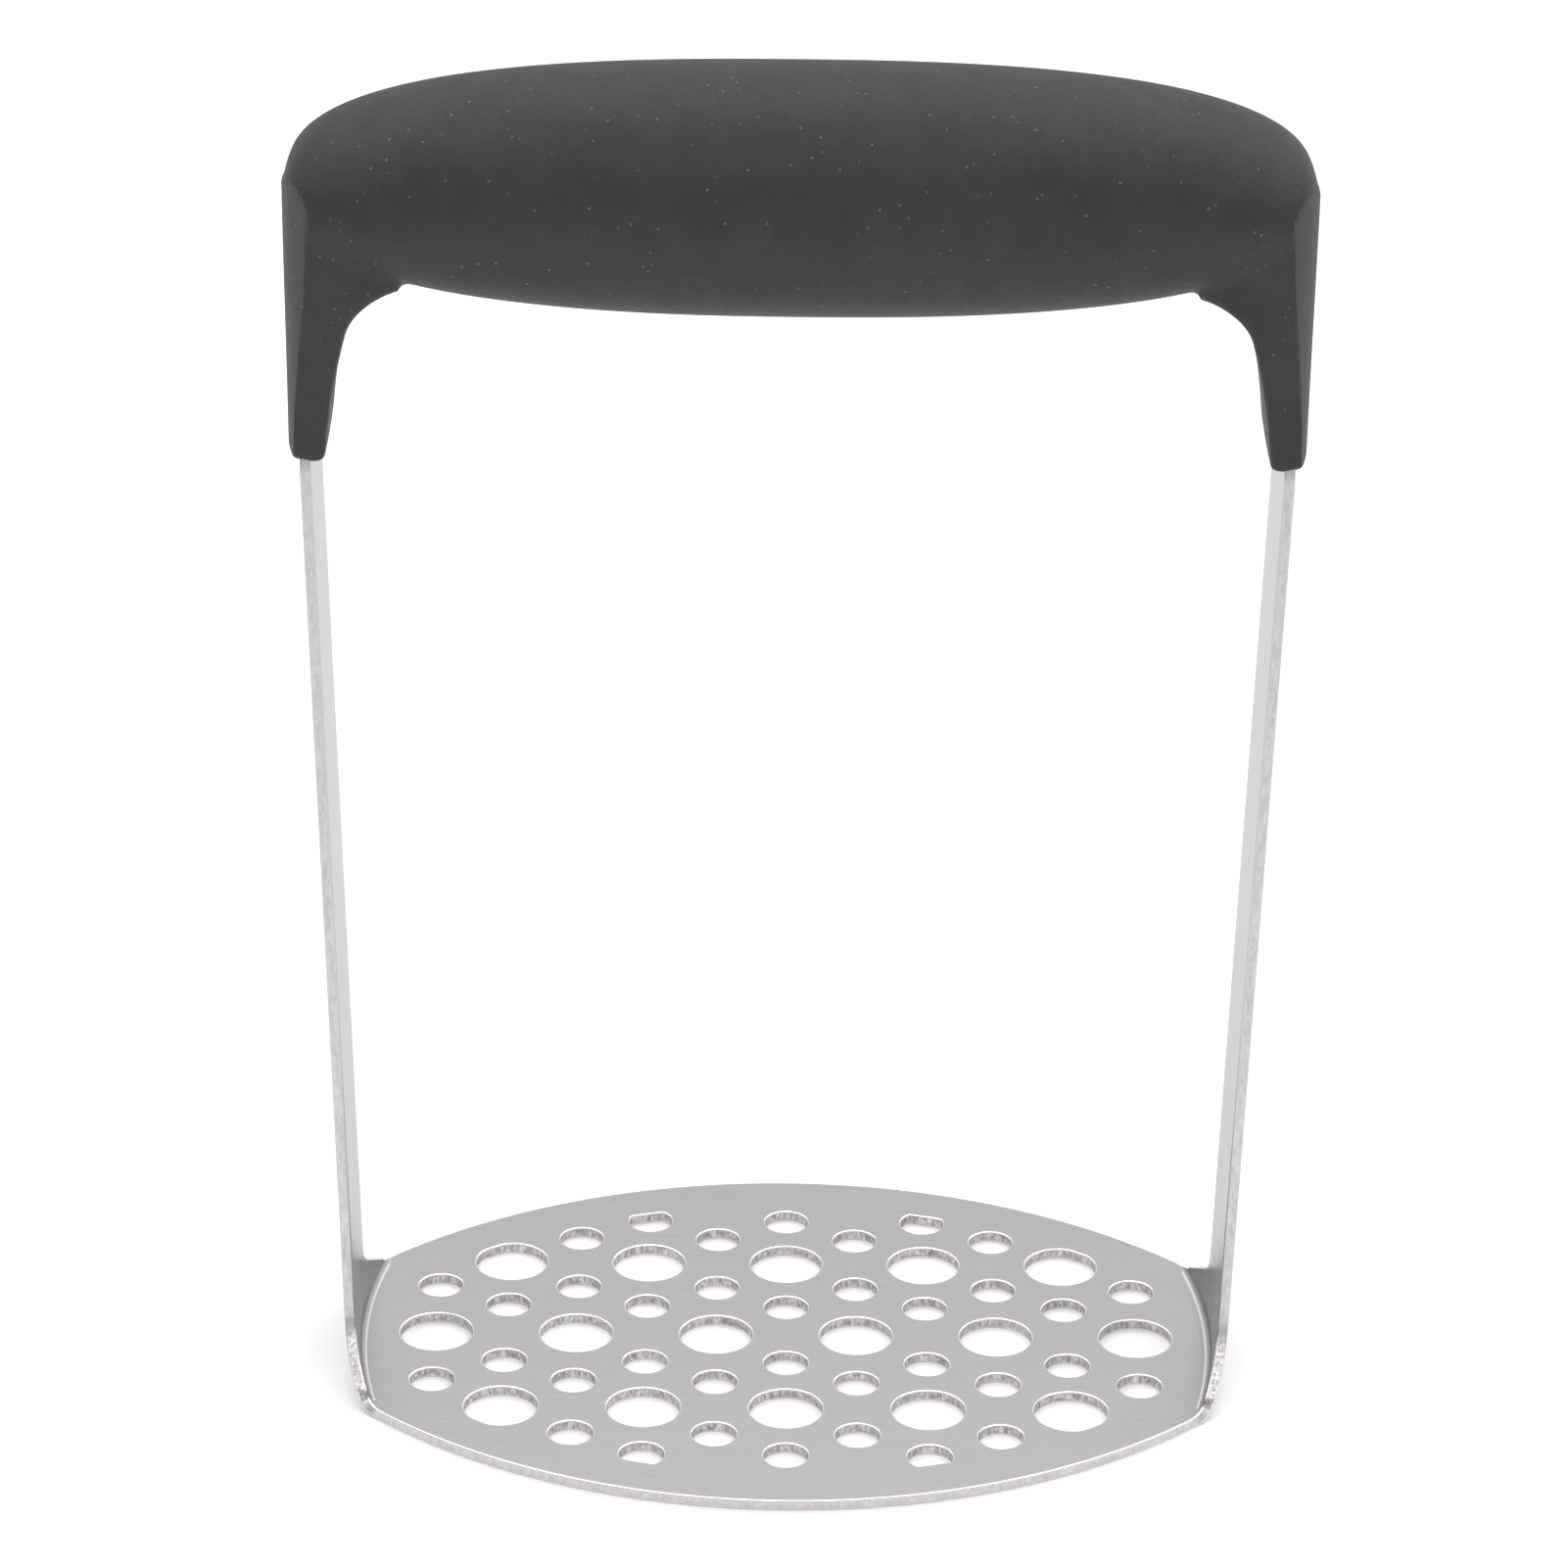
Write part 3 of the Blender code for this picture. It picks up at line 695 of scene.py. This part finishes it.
class Nodes:
    """Short hand for building a node tree."""

    def __init__(self, name):
        self.material = bpy.data.materials.new(name)
        self.material.use_nodes = True
        self.tree = self.material.node_tree
        self.shader = self.tree.nodes["Principled BSDF"]

    def add(self, kind, **values):
        node = self.tree.nodes.new(kind)
        for key, value in values.items():
            setattr(node, key, value)
        return node

    def link(self, source, target):
        self.tree.links.new(source, target)

    def put(self, node, **values):
        for key, value in values.items():
            node.inputs[key.replace("_", " ")].default_value = value

    def noise(self, vector, scale, detail=2.0, roughness=0.5):
        node = self.add("ShaderNodeTexNoise")
        self.put(node, Scale=scale, Detail=detail, Roughness=roughness)
        self.link(vector, node.inputs["Vector"])
        return node.outputs["Fac"]

    def stretch(self, vector, scale):
        node = self.add("ShaderNodeMapping")
        node.inputs["Scale"].default_value = scale
        self.link(vector, node.inputs["Vector"])
        return node.outputs["Vector"]

    def ramp(self, value, stops):
        """Colour ramp through (place, grey or colour) stops."""
        node = self.add("ShaderNodeValToRGB")
        while len(node.color_ramp.elements) < len(stops):
            node.color_ramp.elements.new(0.5)
        for element, (place, colour) in zip(node.color_ramp.elements, stops):
            element.position = place
            shade = colour if isinstance(colour, tuple) else (colour, colour, colour)
            element.color = (*shade, 1.0)
        self.link(value, node.inputs["Fac"])
        return node.outputs["Color"]

    def math(self, operation, a, b):
        node = self.add("ShaderNodeMath", operation=operation)
        for socket, value in zip(node.inputs, (a, b)):
            if isinstance(value, (int, float)):
                socket.default_value = value
            else:
                self.link(value, socket)
        return node.outputs["Value"]

    def mix(self, share, a, b):
        """Colour a where the share is 0, b where it is 1; each a value or a socket."""
        node = self.add("ShaderNodeMix", data_type="RGBA")
        for name, value in (("Factor", share), ("A", a), ("B", b)):
            socket = node.inputs[name]
            if isinstance(value, (int, float)):
                socket.default_value = value
            elif isinstance(value, tuple):
                socket.default_value = (*value, 1.0)
            else:
                self.link(value, socket)
        return node.outputs["Result"]

    def bump(self, height, strength, distance):
        node = self.add("ShaderNodeBump")
        self.put(node, Strength=strength, Distance=distance)
        self.link(height, node.inputs["Height"])
        self.link(node.outputs["Normal"], self.shader.inputs["Normal"])


def flat_distances(nodes, flat):
    """Distances from the middle of the flat pattern, along and across it."""
    split = nodes.add("ShaderNodeSeparateXYZ")
    nodes.link(flat, split.inputs[0])
    return [nodes.math("ABSOLUTE", split.outputs[axis], 0.0) for axis in "XY"]


def bend_highlight(nodes, out, across):
    """Painted highlight: a bright line along each bend line, where the sheet starts to curve."""
    radius = PLATE_ARC_RADIUS / UV_LENGTH
    square = nodes.math("SUBTRACT", radius ** 2, nodes.math("MULTIPLY", across, across))
    arc = nodes.math("SQRT", square, 0.0)
    line = nodes.math("ADD", (BEND_LINE + BEND_HIGHLIGHT_OFFSET) / UV_LENGTH - radius, arc)
    away = nodes.math("ABSOLUTE", nodes.math("SUBTRACT", out, line), 0.0)
    width = BEND_HIGHLIGHT_WIDTH / UV_LENGTH
    near = nodes.math("SUBTRACT", 1.0, nodes.math("MULTIPLY", away, 1.0 / width))
    inside = nodes.math("LESS_THAN", across, FOOT_HALF_WIDTH / UV_LENGTH)
    return nodes.math("MULTIPLY", nodes.math("MAXIMUM", near, 0.0), inside)


def rim_highlight_share(nodes, out):
    """How strong the painted highlight on the rolled rim is: full on the plate, faint on the strips."""
    last_full = (BEND_LINE + RIM_HIGHLIGHT_FULL_END) / UV_LENGTH
    first_faint = (BEND_LINE + RIM_HIGHLIGHT_FADE_END) / UV_LENGTH
    return nodes.ramp(out, [(last_full, 1.0), (first_faint, 0.1)])


def steel_material():
    """Stainless sheet, finely brushed along the blank's length, with painted highlights on its rolled rims
    and along its bend lines.
    """
    nodes = Nodes("brushed_steel")
    flat = nodes.add("ShaderNodeUVMap", uv_map=PATTERN_LAYER).outputs["UV"]
    fine = nodes.noise(nodes.stretch(flat, FINE_BRUSHING), 1.0, 3.0, 0.6)
    coarse = nodes.noise(nodes.stretch(flat, COARSE_BRUSHING), 1.0, 2.0, 0.5)
    grain = nodes.math("ADD", nodes.math("MULTIPLY", fine, 0.6), nodes.math("MULTIPLY", coarse, 0.4))
    brushed = nodes.ramp(grain, [(0.3, BRUSHED_DARK), (0.7, BRUSHED_LIGHT)])
    place = nodes.add("ShaderNodeTexCoord").outputs["Object"]
    torn = nodes.noise(nodes.stretch(place, TORN_STRETCH), TORN_SCALE, 3.0, 0.65)
    punched = nodes.ramp(torn, [(0.35, PUNCHED_DARK), (0.65, PUNCHED_LIGHT)])
    trimmed = nodes.ramp(torn, [(0.3, TRIMMED_DARK), (0.7, TRIMMED_LIGHT)])
    torn_share = nodes.add("ShaderNodeAttribute", attribute_name=TORN_LAYER).outputs["Fac"]
    sheared = nodes.mix(torn_share, trimmed, punched)
    edge_share = nodes.add("ShaderNodeAttribute", attribute_name=EDGE_LAYER).outputs["Fac"]
    # painted highlight on the rolled rims: near-white colour on the band where each face turns into a cut
    # wall
    rim = nodes.ramp(edge_share, [(0.05, 0.0), (0.30, 1.0)])
    wall = nodes.ramp(edge_share, [(0.93, 0.0), (0.99, 1.0)])
    out, across = flat_distances(nodes, flat)
    rim = nodes.math("MULTIPLY", rim, rim_highlight_share(nodes, out))
    # painted highlight along the bend lines joins the rims' one; both take the near-white colour
    bright = nodes.math("MAXIMUM", rim, bend_highlight(nodes, out, across))
    with_painted_highlights = nodes.mix(bright, brushed, PAINTED_HIGHLIGHT)
    nodes.link(nodes.mix(wall, with_painted_highlights, sheared), nodes.shader.inputs["Base Color"])
    smooth = nodes.ramp(grain, [(0.3, 0.25), (0.7, 0.30)])
    rough = nodes.ramp(torn, [(0.35, 0.60), (0.65, 0.42)])
    nodes.link(nodes.mix(wall, smooth, rough), nodes.shader.inputs["Roughness"])
    nodes.put(nodes.shader, Metallic=1.0)
    nodes.shader.inputs["Specular Tint"].default_value = STEEL_TINT
    nodes.bump(nodes.mix(wall, fine, torn), 0.04, 0.02 * MM)
    return nodes.material


def rubber_material():
    """Matt dark grey rubber with a fine tooth and a little dust."""
    nodes = Nodes("grip_rubber")
    place = nodes.add("ShaderNodeTexCoord").outputs["Object"]
    tooth = nodes.noise(place, TOOTH_SCALE, 2.0, 0.6)
    cloud = nodes.noise(place, CLOUD_SCALE, 5.0, 0.65)
    base = nodes.ramp(cloud, [(0.3, RUBBER_DARK), (0.7, RUBBER_LIGHT)])
    speck = nodes.add("ShaderNodeTexVoronoi")
    nodes.put(speck, Scale=DUST_SCALE, Randomness=1.0)
    nodes.link(place, speck.inputs["Vector"])
    near = nodes.ramp(speck.outputs["Distance"], [(0.0, 1.0), (0.14, 0.0)])
    pick = nodes.ramp(nodes.noise(place, DUST_PICK_SCALE, 1.0, 0.5), [(0.44, 0.0), (0.54, 1.0)])
    dust = nodes.math("MULTIPLY", near, pick)
    nodes.link(nodes.mix(dust, base, DUST), nodes.shader.inputs["Base Color"])
    nodes.link(nodes.ramp(tooth, [(0.3, 0.55), (0.7, 0.7)]), nodes.shader.inputs["Roughness"])
    nodes.put(nodes.shader, Metallic=0.0)
    nodes.shader.inputs["Specular IOR Level"].default_value = 0.35
    nodes.bump(tooth, 0.3, 0.03 * MM)
    return nodes.material


def plastic_material():
    """Moulded black plastic of the hidden core, with a fine erosion texture."""
    nodes = Nodes("core_plastic")
    place = nodes.add("ShaderNodeTexCoord").outputs["Object"]
    grain = nodes.noise(place, CORE_GRAIN_SCALE, 3.0, 0.6)
    nodes.link(nodes.ramp(grain, [(0.3, CORE_DARK), (0.7, CORE_LIGHT)]), nodes.shader.inputs["Base Color"])
    nodes.link(nodes.ramp(grain, [(0.3, 0.42), (0.7, 0.55)]), nodes.shader.inputs["Roughness"])
    nodes.put(nodes.shader, Metallic=0.0)
    nodes.bump(grain, 0.2, 0.03 * MM)
    return nodes.material


def floor_material():
    """Plain pale floor that doesn't shine."""
    nodes = Nodes("floor")
    nodes.put(nodes.shader, Roughness=0.9, Metallic=0.0)
    nodes.shader.inputs["Base Color"].default_value = (FLOOR_SHADE, FLOOR_SHADE, FLOOR_SHADE, 1.0)
    nodes.shader.inputs["Specular IOR Level"].default_value = 0.0
    nodes.shader.inputs["Emission Color"].default_value = (1.0, 1.0, 1.0, 1.0)
    nodes.shader.inputs["Emission Strength"].default_value = FLOOR_GLOW
    return nodes.material


# Studio

def make_floor():
    """One large square that everything stands on."""
    half = FLOOR_HALF_SIZE
    corners = [(-half, -half, 0.0), (half, -half, 0.0), (half, half, 0.0), (-half, half, 0.0)]
    mesh = bpy.data.meshes.new("floor")
    mesh.from_pydata(corners, [], [(0, 1, 2, 3)])
    mesh.materials.append(floor_material())
    floor = bpy.data.objects.new("floor", mesh)
    floor.location.z = -FLOOR_DROP
    bpy.context.scene.collection.objects.link(floor)
    return floor


def make_area(name, place, target, size, power):
    """Rectangular lamp at a place, aimed at a target."""
    data = bpy.data.lights.new(name, "AREA")
    data.shape = "RECTANGLE"
    data.size, data.size_y = size
    data.energy = power
    lamp = bpy.data.objects.new(name, data)
    lamp.location = place
    lamp.rotation_euler = (Vector(target) - Vector(place)).to_track_quat("-Z", "Y").to_euler()
    bpy.context.scene.collection.objects.link(lamp)


def make_world():
    """Pale studio: bright overhead and behind, dimmer in front, darkest on the left."""
    world = bpy.data.worlds.new("studio")
    world.use_nodes = True
    tree = world.node_tree
    place = tree.nodes.new("ShaderNodeTexCoord").outputs["Generated"]
    split = tree.nodes.new("ShaderNodeSeparateXYZ")
    tree.links.new(place, split.inputs[0])

    def span(socket, low, high, dim, bright):
        node = tree.nodes.new("ShaderNodeMapRange")
        node.interpolation_type = "SMOOTHSTEP"
        for name, value in (("From Min", low), ("From Max", high), ("To Min", dim), ("To Max", bright)):
            node.inputs[name].default_value = value
        tree.links.new(socket, node.inputs["Value"])
        return node.outputs["Result"]

    def times(a, b):
        node = tree.nodes.new("ShaderNodeMath")
        node.operation = "MULTIPLY"
        tree.links.new(a, node.inputs[0])
        tree.links.new(b, node.inputs[1])
        return node.outputs["Value"]

    depth = span(split.outputs["Y"], -WORLD_TURN, WORLD_TURN, WORLD_FRONT, WORLD_BACK)
    side = span(split.outputs["X"], -WORLD_TURN, 0.0, WORLD_LEFT, 1.0)
    rise = span(split.outputs["Z"], 0.0, 1.0, 1.0, WORLD_TOP)
    background = tree.nodes["Background"]
    tree.links.new(times(times(depth, side), rise), background.inputs["Strength"])
    background.inputs["Color"].default_value = (1.0, 1.0, 1.0, 1.0)
    bpy.context.scene.world = world


def make_camera():
    """Camera that looks along its yaw and pitch, rolled about its own axis."""
    data = bpy.data.cameras.new("camera")
    data.sensor_width = SENSOR_WIDTH
    data.lens = LENS
    data.clip_start = 0.01
    camera = bpy.data.objects.new("camera", data)
    sin_yaw, cos_yaw = math.sin(CAMERA_YAW), math.cos(CAMERA_YAW)
    forward = Vector((sin_yaw * math.cos(CAMERA_PITCH), cos_yaw * math.cos(CAMERA_PITCH),
                      -math.sin(CAMERA_PITCH)))
    right = Vector((cos_yaw, -sin_yaw, 0.0))
    up = right.cross(forward)
    across = right * math.cos(CAMERA_ROLL) + up * math.sin(CAMERA_ROLL)
    above = up * math.cos(CAMERA_ROLL) - right * math.sin(CAMERA_ROLL)
    turn = Matrix((across, above, -forward)).transposed()
    camera.matrix_world = Matrix.Translation(CAMERA_PLACE) @ turn.to_4x4()
    bpy.context.scene.collection.objects.link(camera)
    bpy.context.scene.camera = camera


def main():
    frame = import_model()
    blank = make_blank(steel_material())
    grip = make_grip(rubber_material())
    core = frame["nodes"]["handle_core"]
    core.data.materials.clear()
    core.data.materials.append(plastic_material())
    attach(blank, "root")
    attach(grip, "root")
    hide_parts("mash_plate", "left_upright", "right_upright")
    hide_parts("soft_grip")
    make_floor()
    make_world()
    make_area("top_light", TOP_LIGHT_PLACE, TOP_LIGHT_TARGET, TOP_LIGHT_SIZE, TOP_LIGHT_POWER)
    make_camera()
    bpy.context.scene.view_settings.view_transform = "Standard"


main()
